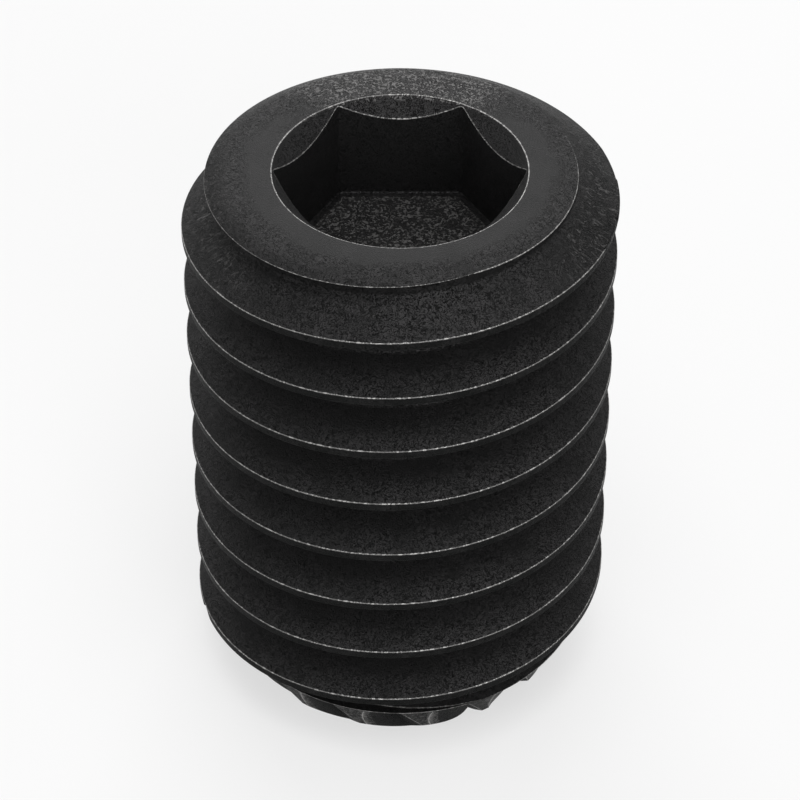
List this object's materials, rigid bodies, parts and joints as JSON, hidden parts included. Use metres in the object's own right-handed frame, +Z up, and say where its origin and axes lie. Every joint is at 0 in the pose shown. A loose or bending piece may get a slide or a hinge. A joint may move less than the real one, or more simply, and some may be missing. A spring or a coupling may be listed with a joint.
{
  "type": "hex socket set screw",
  "caption": "Grub screw with a right-hand machine thread, a hexagon socket at one end and a knurled cup point at the other.",
  "frame": {"origin": "centre of the cup's rim, on the plane the screw stands on", "axes": "+Z up the screw's axis from the cup point to the socket end, -Y towards the front"},
  "size_m": [0.008, 0.008, 0.0112],
  "materials": {
    "black_oxide_steel": "black oxide on alloy steel, satin with a fine mottle"
  },
  "bodies": {
    "root": {"set_screw": "black_oxide_steel"}
  },
  "joints": []
}
